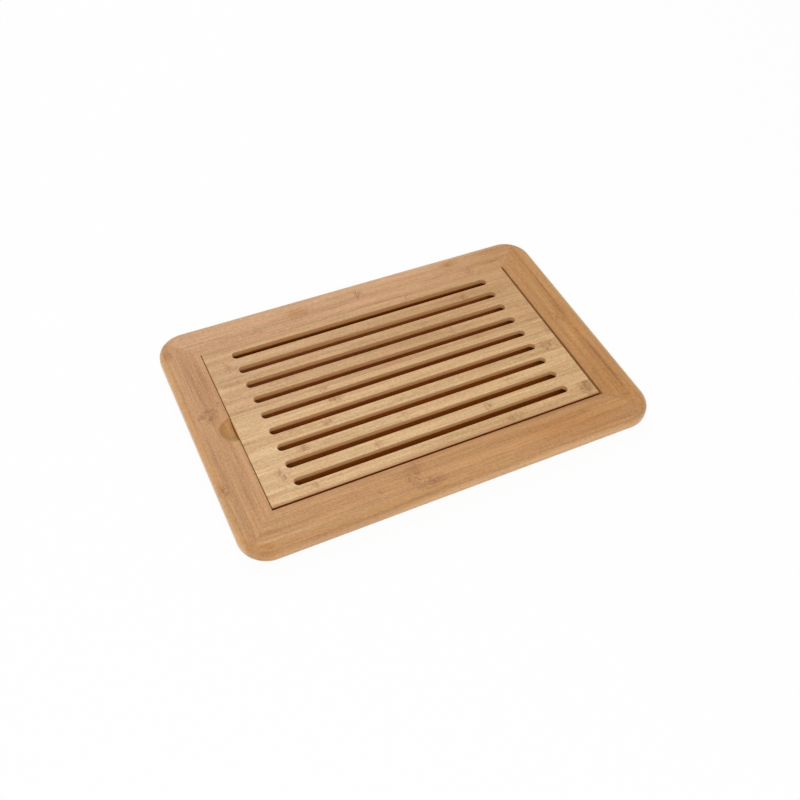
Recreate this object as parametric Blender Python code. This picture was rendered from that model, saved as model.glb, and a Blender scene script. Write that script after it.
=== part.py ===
"""Bamboo bread board: a mitred frame, a lift-out slotted grid and a crumb tray under it.

Metres, +Z up. X runs along the long side and Y towards the rear. The origin is on the surface
that the board stands on, under the middle of the frame.
"""

import math

import bmesh
import bpy

# Whole board
BOARD_LENGTH = 0.420
BOARD_DEPTH = 0.276
BOARD_HEIGHT = 0.020
CORNER_RADIUS = 0.028
RIM_RADIUS = 0.008

# Frame rails. The opening, and all that is let into it, lies a little left of the middle.
RAIL_WIDTH = 0.039
OPENING_SHIFT = -0.0016
LEDGE_WIDTH = 0.007
MITRE_GAP = 0.0002

# Grid
GRID_THICKNESS = 0.0055
GRID_GAP_LEFT = 0.0004
GRID_GAP_RIGHT = 0.0010
GRID_GAP_REAR = 0.0003
GRID_GAP_FRONT = 0.0011
GRID_EDGE_RADIUS = 0.0012
GRID_SEAT_GAP = 0.0003
SLOT_COUNT = 9
SLOT_WIDTH = 0.0084
SLOT_END_MARGIN = 0.0276
SLOT_REAR_MARGIN = 0.0089
SLOT_FRONT_MARGIN = 0.0146

# Glue joints of the grid, counted in slot pitches from the rearmost slot
STAVE_JOINT_SHARES = (0.08, 1.41, 2.45, 3.48, 4.59, 5.65, 6.98, 7.95)
GLUE_GAP = 0.0002

# Floor of the crumb tray
FLOOR_THICKNESS = 0.005
FLOOR_RECESS = 0.001
FLOOR_REACH = 0.005
FLOOR_FIT = 0.0003
FLOOR_STAVE_COUNT = 9

# Splines in the mitres
SPLINE_LENGTH = 0.022
SPLINE_WIDTH = 0.016
SPLINE_THICKNESS = 0.004
SPLINE_INSET = 0.021
SPLINE_FIT = 0.0002

# Finger scoop in the left rail, a dish centred on the edge of the grid
SCOOP_RADIUS = 0.0144
SCOOP_DEPTH = 0.0055
SCOOP_OFFSET = -0.0015

# How far every cutter runs past what it cuts, and how near two points count as one
OVERRUN = 0.002
WELD_DISTANCE = 0.00001

# Facets of the round shapes. An odd corner count keeps the mitre off a facet's edge.
CORNER_STEPS = 9
RIM_STEPS = 6
EDGE_STEPS = 2
SLOT_END_STEPS = 12
SCOOP_STEPS_ROUND = 60
SCOOP_STEPS_DOWN = 40
ROUND_PROFILE_SHARE = 0.5
SMOOTH_ANGLE = math.radians(30)

# Finish: screen colours, and how much lighter or darker than them each stave is
RAIL_COLOR = (0.765, 0.592, 0.424)
RAIL_RIGHT_COLOR = (0.729, 0.533, 0.345)
GRID_COLOR = (0.816, 0.671, 0.502)
FLOOR_COLOR = (0.702, 0.541, 0.373)
SPLINE_COLOR = (0.780, 0.627, 0.447)
STAVE_TONE_SHARES = (0.95, 0.96, 0.93, 1.0, 0.98, 1.01, 1.02, 1.05, 1.04)
ROUGHNESS = 0.45
SCREEN_GAMMA = 2.2

# Worked out from the sizes above
OPENING_LENGTH = BOARD_LENGTH - 2 * RAIL_WIDTH
OPENING_DEPTH = BOARD_DEPTH - 2 * RAIL_WIDTH
GRID_BOTTOM = BOARD_HEIGHT - GRID_THICKNESS
LEDGE_TOP = GRID_BOTTOM - GRID_SEAT_GAP
FLOOR_TOP = FLOOR_RECESS + FLOOR_THICKNESS
LEDGE_BOTTOM = FLOOR_TOP + FLOOR_FIT
GRID_LENGTH = OPENING_LENGTH - GRID_GAP_LEFT - GRID_GAP_RIGHT
GRID_DEPTH = OPENING_DEPTH - GRID_GAP_REAR - GRID_GAP_FRONT
GRID_CENTRE_X = OPENING_SHIFT + (GRID_GAP_LEFT - GRID_GAP_RIGHT) / 2
GRID_CENTRE_Y = (GRID_GAP_FRONT - GRID_GAP_REAR) / 2
SLOT_LENGTH = GRID_LENGTH - 2 * SLOT_END_MARGIN
SLOT_FIELD = GRID_DEPTH - SLOT_REAR_MARGIN - SLOT_FRONT_MARGIN - SLOT_WIDTH
SLOT_PITCH = SLOT_FIELD / (SLOT_COUNT - 1)


def clear_scene():
    """Remove every object that the scene starts with."""
    for old in list(bpy.data.objects):
        bpy.data.objects.remove(old, do_unlink=True)


def new_collection(name):
    """Make a collection in the scene."""
    collection = bpy.data.collections.new(name)
    bpy.context.scene.collection.children.link(collection)
    return collection


def add_object(name, mesh, collection, location=(0, 0, 0), turn=0, parent=None):
    """Put a mesh in the scene, turned about Z, under its parent."""
    placed = bpy.data.objects.new(name, mesh)
    placed.location = location
    placed.rotation_euler = (0, 0, turn)
    placed.parent = parent
    collection.objects.link(placed)
    return placed


def add_empty(name, collection, location=(0, 0, 0)):
    """Add an empty that carries other objects."""
    return add_object(name, None, collection, location)


def add_cutter(name, mesh, location=(0, 0, 0), turn=0):
    """Add a helper shape that only cuts."""
    cutter = add_object(name, mesh, CUTTERS, location, turn)
    cutter.hide_render = True
    cutter.display_type = "WIRE"
    return cutter


def apply_boolean(target, cutter, operation="DIFFERENCE"):
    """Cut the target by the cutter, or keep only what lies inside it."""
    modifier = target.modifiers.new(f"{operation.lower()} {cutter.name}", "BOOLEAN")
    modifier.operation = operation
    modifier.object = cutter


def linear(screen_value):
    """Turn a screen colour value into the linear value that a shader takes."""
    return screen_value**SCREEN_GAMMA


def give_bamboo(placed, screen_color, tone_share=1):
    """Give an object its own bamboo material."""
    material = bpy.data.materials.new(f"{placed.name} bamboo")
    material.use_nodes = True
    shader = material.node_tree.nodes["Principled BSDF"]
    color = [linear(value * tone_share) for value in screen_color]
    shader.inputs["Base Color"].default_value = (*color, 1)
    shader.inputs["Roughness"].default_value = ROUGHNESS
    shader.inputs["Metallic"].default_value = 0
    material.diffuse_color = (*color, 1)
    if not placed.data.materials:
        placed.data.materials.append(None)
    placed.material_slots[0].link = "OBJECT"
    placed.material_slots[0].material = material


def edges_along(edges, axis):
    """The edges that run along an axis, given as 0, 1 or 2."""
    others = [other for other in range(3) if other != axis]
    found = []
    for edge in edges:
        start, end = (vert.co for vert in edge.verts)
        if all(math.isclose(start[other], end[other], abs_tol=WELD_DISTANCE) for other in others):
            found.append(edge)
    return found


def box_shape(size):
    """A box about the origin."""
    shape = bmesh.new()
    bmesh.ops.create_cube(shape, size=1)
    bmesh.ops.scale(shape, vec=size, verts=shape.verts)
    return shape


def finish_mesh(shape, name, smooth_angle=None):
    """Turn a bmesh into a mesh with its faces out."""
    bmesh.ops.recalc_face_normals(shape, faces=shape.faces)
    mesh = bpy.data.meshes.new(name)
    shape.to_mesh(mesh)
    shape.free()
    if smooth_angle:
        mesh.shade_smooth()
        mesh.set_sharp_from_angle(angle=smooth_angle)
    return mesh


def box_mesh(name, size):
    """A plain box."""
    return finish_mesh(box_shape(size), name)


def board_blank_mesh(name):
    """The whole board before it is cut: round corners in plan and a round rim."""
    shape = box_shape((BOARD_LENGTH, BOARD_DEPTH, BOARD_HEIGHT))
    bmesh.ops.bevel(
        shape,
        geom=edges_along(shape.edges, 2),
        offset=CORNER_RADIUS,
        segments=CORNER_STEPS,
        profile=ROUND_PROFILE_SHARE,
        affect="EDGES",
    )
    rim = [edge for edge in shape.edges if edge.verts[0].co.z == edge.verts[1].co.z]
    bmesh.ops.bevel(
        shape,
        geom=rim,
        offset=RIM_RADIUS,
        segments=RIM_STEPS,
        profile=ROUND_PROFILE_SHARE,
        affect="EDGES",
    )
    return finish_mesh(shape, name, smooth_angle=SMOOTH_ANGLE)


def grid_blank_mesh(name):
    """The whole grid before it is slotted, with its top outer edges eased."""
    shape = box_shape((GRID_LENGTH, GRID_DEPTH, GRID_THICKNESS))
    top = [edge for edge in shape.edges if all(vert.co.z > 0 for vert in edge.verts)]
    bmesh.ops.bevel(
        shape,
        geom=top,
        offset=GRID_EDGE_RADIUS,
        segments=EDGE_STEPS,
        profile=ROUND_PROFILE_SHARE,
        affect="EDGES",
    )
    return finish_mesh(shape, name)


def prism_mesh(name, outline, height):
    """A flat outline drawn as a closed curve and extruded about the origin's height."""
    curve = bpy.data.curves.new(name, "CURVE")
    curve.dimensions = "2D"
    curve.fill_mode = "BOTH"
    curve.extrude = height / 2
    spline = curve.splines.new("POLY")
    spline.points.add(len(outline) - 1)
    for point, (x, y) in zip(spline.points, outline):
        point.co = (x, y, 0, 1)
    spline.use_cyclic_u = True
    drawn = bpy.data.objects.new(name, curve)
    CUTTERS.objects.link(drawn)
    graph = bpy.context.evaluated_depsgraph_get()
    mesh = bpy.data.meshes.new_from_object(drawn.evaluated_get(graph))
    bpy.data.objects.remove(drawn, do_unlink=True)
    shape = bmesh.new()
    shape.from_mesh(mesh)
    bmesh.ops.remove_doubles(shape, verts=shape.verts, dist=WELD_DISTANCE)
    return finish_mesh(shape, name)


def slot_outline():
    """A long slot with half-round ends, about the origin."""
    radius = SLOT_WIDTH / 2
    reach = SLOT_LENGTH / 2 - radius
    points = []
    for side, first in ((1, -90), (-1, 90)):
        for step in range(SLOT_END_STEPS + 1):
            angle = math.radians(first + 180 * step / SLOT_END_STEPS)
            points.append((side * reach + radius * math.cos(angle), radius * math.sin(angle)))
    return points


def mitre_outline(half_along, half_across):
    """The plan of a rail that runs along X on the -Y side, a little past its outer and inner edges."""
    inner = RAIL_WIDTH + LEDGE_WIDTH + OVERRUN
    trim = MITRE_GAP / math.sqrt(2)
    outer_end = half_along + OVERRUN - trim
    inner_end = half_along - inner - trim
    outer_line = -half_across - OVERRUN
    inner_line = -half_across + inner
    return [
        (-outer_end, outer_line),
        (outer_end, outer_line),
        (inner_end, inner_line),
        (-inner_end, inner_line),
    ]


def make_opening_cutters():
    """The grid's rebate, the tray's hollow and the floor's rebate, as three boxes."""
    ledge = 2 * LEDGE_WIDTH
    reach = 2 * (FLOOR_REACH + FLOOR_FIT)
    spans = {
        "grid_rebate": (OPENING_LENGTH, OPENING_DEPTH, LEDGE_TOP, BOARD_HEIGHT + OVERRUN),
        "tray_hollow": (OPENING_LENGTH - ledge, OPENING_DEPTH - ledge, -OVERRUN, BOARD_HEIGHT),
        "floor_rebate": (OPENING_LENGTH + reach, OPENING_DEPTH + reach, -OVERRUN, LEDGE_BOTTOM),
    }
    cutters = []
    for name, (length, depth, low, high) in spans.items():
        mesh = box_mesh(name, (length, depth, high - low))
        cutters.append(add_cutter(name, mesh, (OPENING_SHIFT, 0, (low + high) / 2)))
    return cutters


def make_scoop_cutter():
    """The ball that cuts the finger scoop down from the top face."""
    ball_radius = (SCOOP_RADIUS**2 + SCOOP_DEPTH**2) / (2 * SCOOP_DEPTH)
    shape = bmesh.new()
    bmesh.ops.create_uvsphere(
        shape, u_segments=SCOOP_STEPS_ROUND, v_segments=SCOOP_STEPS_DOWN, radius=ball_radius
    )
    grid_edge = OPENING_SHIFT + GRID_GAP_LEFT - OPENING_LENGTH / 2
    centre = (grid_edge, SCOOP_OFFSET, BOARD_HEIGHT - SCOOP_DEPTH + ball_radius)
    return add_cutter("scoop_ball", finish_mesh(shape, "scoop_ball"), centre)


def spline_places():
    """Each corner's name, its spline's middle and the spline's turn about Z."""
    across = BOARD_LENGTH / 2 - SPLINE_INSET
    back = BOARD_DEPTH / 2 - SPLINE_INSET
    height = (LEDGE_TOP + LEDGE_BOTTOM) / 2
    places = {}
    for row, side_y in (("front", -1), ("rear", 1)):
        for column, side_x in (("left", -1), ("right", 1)):
            turn = math.atan2(side_y, side_x)
            place = (OPENING_SHIFT + side_x * across, side_y * back, height)
            places[f"{row}_{column}"] = (place, turn)
    return places


def make_splines(parent):
    """One loose spline across each mitre, and the pockets that take them."""
    mesh = box_mesh("spline", (SPLINE_LENGTH, SPLINE_WIDTH, SPLINE_THICKNESS))
    sizes = (SPLINE_LENGTH, SPLINE_WIDTH, SPLINE_THICKNESS)
    pocket = box_mesh("spline_pocket", [size + 2 * SPLINE_FIT for size in sizes])
    pockets = {}
    for corner, (place, turn) in spline_places().items():
        spline = add_object(f"spline_{corner}", mesh, BOARD, place, turn, parent)
        give_bamboo(spline, SPLINE_COLOR)
        pockets[corner] = add_cutter(f"pocket_{corner}", pocket, place, turn)
    return pockets


def make_rails(parent, pockets):
    """The four mitred rails, all cut from the same board blank."""
    blank = board_blank_mesh("board_blank")
    openings = make_opening_cutters()
    scoop = make_scoop_cutter()
    half_length = BOARD_LENGTH / 2
    half_depth = BOARD_DEPTH / 2
    rails = (
        ("front", 0, half_length, half_depth, RAIL_COLOR),
        ("right", 90, half_depth, half_length, RAIL_RIGHT_COLOR),
        ("rear", 180, half_length, half_depth, RAIL_COLOR),
        ("left", 270, half_depth, half_length, RAIL_COLOR),
    )
    height = BOARD_HEIGHT + 2 * OVERRUN
    middle = (0, 0, BOARD_HEIGHT / 2)
    opening_middle = (OPENING_SHIFT, 0, BOARD_HEIGHT / 2)
    for side, turn, half_along, half_across, color in rails:
        rail = add_object(f"rail_{side}", blank, BOARD, middle, parent=parent)
        for opening in openings:
            apply_boolean(rail, opening)
        wedge = prism_mesh(f"mitre_{side}", mitre_outline(half_along, half_across), height)
        keep = add_cutter(f"mitre_{side}", wedge, opening_middle, math.radians(turn))
        apply_boolean(rail, keep, "INTERSECT")
        for corner, pocket in pockets.items():
            if side in corner:
                apply_boolean(rail, pocket)
        if side == "left":
            apply_boolean(rail, scoop)
        give_bamboo(rail, color)


def make_floor(parent):
    """The tray's floor, glued up from equal staves that run along X."""
    length = OPENING_LENGTH + 2 * FLOOR_REACH
    depth = OPENING_DEPTH + 2 * FLOOR_REACH
    stave_pitch = (depth + GLUE_GAP) / FLOOR_STAVE_COUNT
    stave_depth = stave_pitch - GLUE_GAP
    mesh = box_mesh("floor_stave", (length, stave_depth, FLOOR_THICKNESS))
    height = FLOOR_RECESS + FLOOR_THICKNESS / 2
    for index in range(FLOOR_STAVE_COUNT):
        y = (depth - stave_depth) / 2 - index * stave_pitch
        place = (OPENING_SHIFT, y, height)
        stave = add_object(f"floor_stave_{index + 1}", mesh, BOARD, place, parent=parent)
        tone_share = STAVE_TONE_SHARES[-1 - index % len(STAVE_TONE_SHARES)]
        give_bamboo(stave, FLOOR_COLOR, tone_share)


def slot_centres():
    """The slots' places along Y from the grid's middle, from the rear to the front."""
    first = GRID_DEPTH / 2 - SLOT_REAR_MARGIN - SLOT_WIDTH / 2
    return [first - index * SLOT_PITCH for index in range(SLOT_COUNT)]


def stave_bounds():
    """The rear and front edge of each grid stave, along Y from the grid's middle."""
    first_slot = slot_centres()[0]
    joints = [first_slot - share * SLOT_PITCH for share in STAVE_JOINT_SHARES]
    edges = [GRID_DEPTH / 2 + OVERRUN, *joints, -GRID_DEPTH / 2 - OVERRUN]
    return [
        (rear - GLUE_GAP / 2, front + GLUE_GAP / 2)
        for rear, front in zip(edges, edges[1:])
    ]


def make_grid():
    """The lift-out grid: staves cut from one blank, then slotted. They lift along the empty's Z."""
    middle = (GRID_CENTRE_X, GRID_CENTRE_Y, GRID_BOTTOM + GRID_THICKNESS / 2)
    lift = add_empty("grid_lift_axis", BOARD, middle)
    blank = grid_blank_mesh("grid_blank")
    height = GRID_THICKNESS + 2 * OVERRUN
    slot_mesh = prism_mesh("slot", slot_outline(), height)
    slots = []
    for index, y in enumerate(slot_centres()):
        place = (middle[0], middle[1] + y, middle[2])
        slots.append((y, add_cutter(f"slot_{index + 1}", slot_mesh, place)))
    for index, (rear, front) in enumerate(stave_bounds()):
        stave = add_object(f"grid_stave_{index + 1}", blank, BOARD, parent=lift)
        strip_mesh = box_mesh("strip", (GRID_LENGTH + 2 * OVERRUN, rear - front, height))
        place = (middle[0], middle[1] + (rear + front) / 2, middle[2])
        apply_boolean(stave, add_cutter(f"strip_{index + 1}", strip_mesh, place), "INTERSECT")
        for y, slot in slots:
            if front - SLOT_WIDTH / 2 < y < rear + SLOT_WIDTH / 2:
                apply_boolean(stave, slot)
        give_bamboo(stave, GRID_COLOR, STAVE_TONE_SHARES[index % len(STAVE_TONE_SHARES)])


clear_scene()
BOARD = new_collection("bread_board")
CUTTERS = new_collection("cutters")
frame_origin = add_empty("frame_origin", BOARD)
make_rails(frame_origin, make_splines(frame_origin))
make_floor(frame_origin)
make_grid()
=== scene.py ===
"""Looks of a bamboo bread board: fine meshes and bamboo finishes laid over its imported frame.

Metres, +Z up, in the frame's own axes: X along the long side, Y to the rear, the board's
foot at zero. The file is laid out as an add-on: sizes and colours are properties, each group
of pieces has an operator, and main calls them in order.
"""

import math

import bmesh
import bpy
from bpy.props import FloatProperty, FloatVectorProperty, IntProperty, PointerProperty
from mathutils import Matrix, Vector


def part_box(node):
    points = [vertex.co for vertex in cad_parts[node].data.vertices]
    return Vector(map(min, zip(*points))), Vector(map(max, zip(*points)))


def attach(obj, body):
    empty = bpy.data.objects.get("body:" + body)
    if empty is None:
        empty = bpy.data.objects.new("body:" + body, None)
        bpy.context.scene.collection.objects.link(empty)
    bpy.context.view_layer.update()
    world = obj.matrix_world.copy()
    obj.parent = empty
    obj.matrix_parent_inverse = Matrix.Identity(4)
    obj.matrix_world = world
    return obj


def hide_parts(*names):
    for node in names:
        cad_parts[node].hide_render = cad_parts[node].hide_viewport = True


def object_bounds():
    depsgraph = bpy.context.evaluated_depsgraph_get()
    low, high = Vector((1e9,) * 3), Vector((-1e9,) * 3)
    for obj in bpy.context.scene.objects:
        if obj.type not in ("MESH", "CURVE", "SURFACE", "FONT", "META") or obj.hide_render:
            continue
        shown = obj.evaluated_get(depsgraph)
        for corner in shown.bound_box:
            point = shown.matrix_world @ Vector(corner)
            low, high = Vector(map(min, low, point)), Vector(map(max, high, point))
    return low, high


bl_info = {
    "name": "Bamboo bread board",
    "version": (1, 0, 0),
    "blender": (4, 5, 0),
    "location": "3D View > Sidebar > Bread Board",
    "description": "Builds a bread board's mitred frame, slotted grid, crumb tray and studio",
    "category": "Object",
}

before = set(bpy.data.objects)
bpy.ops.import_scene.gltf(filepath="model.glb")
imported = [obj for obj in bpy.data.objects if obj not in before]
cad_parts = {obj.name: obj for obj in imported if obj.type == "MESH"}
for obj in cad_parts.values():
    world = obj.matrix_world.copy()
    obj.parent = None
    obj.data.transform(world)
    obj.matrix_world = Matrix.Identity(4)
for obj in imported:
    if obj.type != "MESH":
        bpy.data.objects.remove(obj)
CAD_LOW, CAD_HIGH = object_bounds()

MM = 0.001

# What the frame says about the pieces
STAVE_COUNT = 9
STAVE_BOXES = [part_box(f"grid_stave_{index + 1}") for index in range(STAVE_COUNT)]
FLOOR_BOXES = [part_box(f"floor_stave_{index + 1}") for index in range(STAVE_COUNT)]
GRID_LOW = Vector(map(min, zip(*(low for low, high in STAVE_BOXES))))
GRID_HIGH = Vector(map(max, zip(*(high for low, high in STAVE_BOXES))))
FLOOR_HIGH = Vector(map(max, zip(*(high for low, high in FLOOR_BOXES))))
LEDGE_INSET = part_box("rail_front")[1].y - CAD_LOW.y
OPENING_SHIFT = (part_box("rail_left")[1].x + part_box("rail_right")[0].x) / 2

# Each rail's grain, and the two corners of the opening that its mitres run through
RAILS = {
    "front": ("X", (-1, -1), (1, -1)),
    "right": ("Y", (1, -1), (1, 1)),
    "rear": ("X", (1, 1), (-1, 1)),
    "left": ("Y", (-1, 1), (-1, -1)),
}
CORNERS = ("front_left", "front_right", "rear_left", "rear_right")

# How far a cutter runs past its cut, and how far a mitre's prism reaches out and in
OVERRUN = 2 * MM
MITRE_REACH = 60 * MM
MITRE_BACK = 30 * MM
WELD_DISTANCE = 0.001 * MM
SLIVER_LENGTH = 0.006 * MM
SMOOTH_ANGLE = math.radians(35)
CORNER_STEPS = 10
ROUND_STEPS = 12
EASE_STEPS = 4
SLOT_END_STEPS = 24
SCOOP_STEPS = 96
# The scoop's profile starts a degree off its axis, so its floor has no point
SCOOP_START = -89
# Keeps the grid's top corners from shrinking to a point
CORNER_GROWTH = 1.01
SCREEN_GAMMA = 2.2

# Each lamp's size and place
REAR_LAMP = ((1.6, 1.4), (0.0, 1.55, 1.95))
FRONT_LAMP = ((1.6, 1.2), (-0.9, -1.85, 1.75))
# The white floor: half its length, its squares and how far it lies under the board
FLOOR_REACH = 6
FLOOR_SQUARES = 8
FLOOR_DROP = 0.1 * MM
# Its paint, and how much of it the camera sees as plain white
FLOOR_COLOR_SHARES = (0.93, 0.93, 0.93)
FLOOR_ROUGHNESS = 0.9
FLOOR_GLOW_SHARE = 0.94
WHITE = (1, 1, 1)
SENSOR_WIDTH = 36


def length_property(name, description, default):
    """A length that the user can change."""
    return FloatProperty(name=name, description=description, default=default, unit="LENGTH")


def share_property(name, description, default, most=1):
    """A weight that the user can change."""
    return FloatProperty(
        name=name, description=description, default=default, subtype="FACTOR", min=0, max=most
    )


def color_property(name, description, default):
    """A screen colour that the user can change."""
    return FloatVectorProperty(
        name=name, description=description, default=default, subtype="COLOR", min=0, max=1
    )


def place_property(name, description, default):
    """A place that the user can change."""
    return FloatVectorProperty(
        name=name, description=description, default=default, subtype="TRANSLATION", unit="LENGTH"
    )


def power_property(name, description, default):
    """A lamp's power, in watts, that the user can change."""
    return FloatProperty(name=name, description=description, default=default, unit="POWER")


class BreadBoardShape(bpy.types.PropertyGroup):
    """Sizes that the frame's boxes don't give."""

    corner_radius: length_property("Corner radius", "Radius of the board's corners in plan", 0.028)
    rim_radius: length_property("Rim radius", "Radius of the rim at the top and the foot", 0.008)
    rail_width: length_property("Rail width", "Width of a rail's top, rim to opening", 0.039)
    fit: length_property(
        "Fit", "Clearance round the tray's floor, round the splines and under the grid", 0.0003
    )
    slot_count: IntProperty(name="Slots", description="Number of slots in the grid", default=9)
    slot_width: length_property("Slot width", "Width of a slot", 0.0084)
    slot_end_margin: length_property(
        "Slot end margin", "Wood between a slot's end and the grid's edge", 0.0276
    )
    slot_rear_margin: length_property("Slot rear margin", "Wood behind the rearmost slot", 0.0089)
    slot_front_margin: length_property(
        "Slot front margin", "Wood before the frontmost slot", 0.0146
    )
    grid_ease: length_property("Grid edge", "Radius of the grid's top outer edge", 0.0014)
    grid_front_ease: length_property(
        "Grid front edge", "How far the grid's front edge is rounded inwards", 0.0026
    )
    grid_rear_ease: length_property(
        "Grid rear edge", "How far the grid's rear edge is rounded inwards", 0.0001
    )
    front_setback: length_property(
        "Front set-back", "How far the grid's front side is worn back", 0.0009
    )
    right_setback: length_property(
        "Right set-back", "How far the grid's right side is worn back", 0.0009
    )
    grid_rear_play: length_property(
        "Grid rear play", "Gap behind the grid, which is pushed against the rear rail", 0.0001
    )
    crisp_ease: length_property("Crisp edge", "Radius of the edges that are only sanded", 0.0003)
    slot_ease: length_property("Slot edge", "Radius of the slots' top and bottom edges", 0.0005)
    scoop_radius: length_property(
        "Scoop radius", "Radius of the finger scoop at the top face", 0.0144
    )
    scoop_depth: length_property(
        "Scoop depth", "Depth of the finger scoop at the grid's edge", 0.0055
    )
    scoop_place: length_property("Scoop place", "Where the scoop lies along its rail", -0.0015)
    scoop_lip: length_property("Scoop lip", "Radius of the scoop's rounded lip", 0.002)


class BreadBoardBamboo(bpy.types.PropertyGroup):
    """Colours and finish of the bamboo. The colours are screen colours."""

    rail_front: color_property("Front rail", "Bamboo of the front rail", (0.746, 0.542, 0.332))
    rail_rear: color_property("Rear rail", "Bamboo of the rear rail", (0.770, 0.581, 0.394))
    rail_left: color_property("Left rail", "Bamboo of the left rail", (0.743, 0.539, 0.330))
    rail_right: color_property("Right rail", "Bamboo of the right rail", (0.745, 0.532, 0.303))
    grid_rear: color_property("Grid, rear", "Bamboo of the rearmost stave", (0.767, 0.590, 0.392))
    grid_front: color_property("Grid, front", "Bamboo of the palest stave", (0.840, 0.685, 0.484))
    # The tray's colour is darker and deeper than the bamboo above it: painted shade inside the
    # tray. It is also laid on the rails' ledges and deep in the slots.
    tray: color_property("Tray floor", "Bamboo of the crumb tray's floor", (0.600, 0.320, 0.020))
    spline: color_property("Splines", "Bamboo of the splines in the mitres", (0.78, 0.627, 0.447))
    scoop: color_property("Scoop", "Freshly cut bamboo in the scoop", (0.700, 0.515, 0.230))
    routed: color_property("Slot walls", "Raw bamboo of the routed walls", (0.830, 0.635, 0.430))
    # The seam colour is painted shade: the dark of the narrow gaps round the grid, laid on their
    # walls and beside them.
    seam: color_property("Seam", "Dark sides of the seam round the grid", (0.470, 0.240, 0.030))
    knot: color_property("Knots", "Strokes where the cane had a knot", (0.580, 0.350, 0.180))
    roughness: share_property("Roughness", "Roughness of the oiled face", 0.46)
    lacquer: share_property("Lacquer", "Weight of the clear lacquer", 0.15)
    sheen: share_property("Sheen", "Paleness at low angles", 0.7)
    sheen_color: color_property("Sheen colour", "Colour of the paleness", (1.0, 0.93, 0.80))
    streaks: share_property("Streaks", "Strength of the grain's streaks", 1.0, 2)


class BreadBoardStudio(bpy.types.PropertyGroup):
    """Camera and light."""

    camera_at: place_property("Camera", "Where the camera stands", (-0.30635, -0.54557, 0.71433))
    camera_aim: place_property(
        "Aim", "The point that the camera looks at", (-0.01693, -0.02941, 0.020)
    )
    camera_roll: FloatProperty(
        name="Roll",
        description="How far the camera is turned about its own axis",
        default=math.radians(4.776),
        subtype="ANGLE",
    )
    lens: FloatProperty(
        name="Lens", description="Focal length in millimetres", default=42.971, unit="CAMERA"
    )
    sky: FloatProperty(
        name="Sky", description="Strength of the white tent", default=0.485, min=0
    )
    rear_power: power_property("Rear lamp", "Power of the large soft lamp behind", 18.5)
    front_power: power_property("Front lamp", "Power of the soft lamp at the front left", 28.5)


# Shader nodes


def linear(screen):
    """A screen colour as the linear colour that a shader takes."""
    return tuple(value**SCREEN_GAMMA for value in screen)


def seed_of(kind, index):
    """Where in the noise a piece draws its figure."""
    first, step = SEEDS[kind]
    return first + step * index


def blended(first, second, share):
    """A colour between two others."""
    return tuple(a + (b - a) * share for a, b in zip(first, second))


class Field:
    """A shader socket that Python's arithmetic works on."""

    def __init__(self, shader, socket):
        self.shader = shader
        self.socket = socket

    def __add__(self, other):
        return self.shader.math("ADD", self, other)

    __radd__ = __add__

    def __mul__(self, other):
        return self.shader.math("MULTIPLY", self, other)

    __rmul__ = __mul__

    def __sub__(self, other):
        return self.shader.math("SUBTRACT", self, other)

    def __rsub__(self, other):
        return self.shader.math("SUBTRACT", other, self)

    def __abs__(self):
        return self.shader.math("ABSOLUTE", self)


class Shader:
    """A material's nodes, built by expressions."""

    def __init__(self, name):
        self.material = bpy.data.materials.new(name)
        self.material.use_nodes = True
        self.tree = self.material.node_tree
        self.principled = self.tree.nodes["Principled BSDF"]

    def put(self, socket, value):
        """Link a field to a socket, or set the socket's own value."""
        if isinstance(value, Field):
            self.tree.links.new(value.socket, socket)
        elif socket.type == "RGBA":
            socket.default_value = (*value, 1)
        else:
            socket.default_value = value

    def node(self, kind, settings, inputs, output=0):
        """A node with its settings made first, then its sockets."""
        made = self.tree.nodes.new(kind)
        for name, value in settings.items():
            setattr(made, name, value)
        for socket, value in inputs.items():
            self.put(made.inputs[socket], value)
        return Field(self, made.outputs[output])

    def math(self, operation, *values):
        """Arithmetic on fields and numbers."""
        return self.node("ShaderNodeMath", {"operation": operation}, dict(enumerate(values)))

    def vector_math(self, operation, *values, output=0):
        """Arithmetic on places and colours."""
        settings = {"operation": operation}
        return self.node("ShaderNodeVectorMath", settings, dict(enumerate(values)), output)

    def scaled(self, vector, factor):
        """A vector or colour times a number."""
        return self.node(
            "ShaderNodeVectorMath", {"operation": "SCALE"}, {"Vector": vector, "Scale": factor}
        )

    def vector(self, x, y, z):
        """A place made of three numbers or fields."""
        return self.node("ShaderNodeCombineXYZ", {}, {"X": x, "Y": y, "Z": z})

    def mix(self, share, first, second):
        """Two colours mixed by a share, through the mix node's colour sockets 6, 7 and 2."""
        inputs = {0: share, 6: first, 7: second}
        return self.node("ShaderNodeMix", {"data_type": "RGBA"}, inputs, output=2)

    def show_mix(self, share, first, second):
        """Mix two shaders by a share and give the surface the result."""
        surface = self.node("ShaderNodeMixShader", {}, {0: share, 1: first, 2: second})
        self.put(self.tree.nodes["Material Output"].inputs["Surface"], surface)

    def smooth(self, value, start, end):
        """0 before the start, 1 after the end and a soft step between."""
        inputs = {"Value": value, "From Min": start, "From Max": end}
        return self.node("ShaderNodeMapRange", {"interpolation_type": "SMOOTHSTEP"}, inputs)

    def fade(self, value, start, end):
        """1 before the start, 0 after the end and a soft step between."""
        return 1 - self.smooth(value, start, end)

    def noise(self, vector, detail=2, roughness=0.5):
        """Noise about a half, with cells of one unit."""
        inputs = {"Vector": vector, "Scale": 1, "Detail": detail, "Roughness": roughness}
        return self.node("ShaderNodeTexNoise", {}, inputs)


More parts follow.
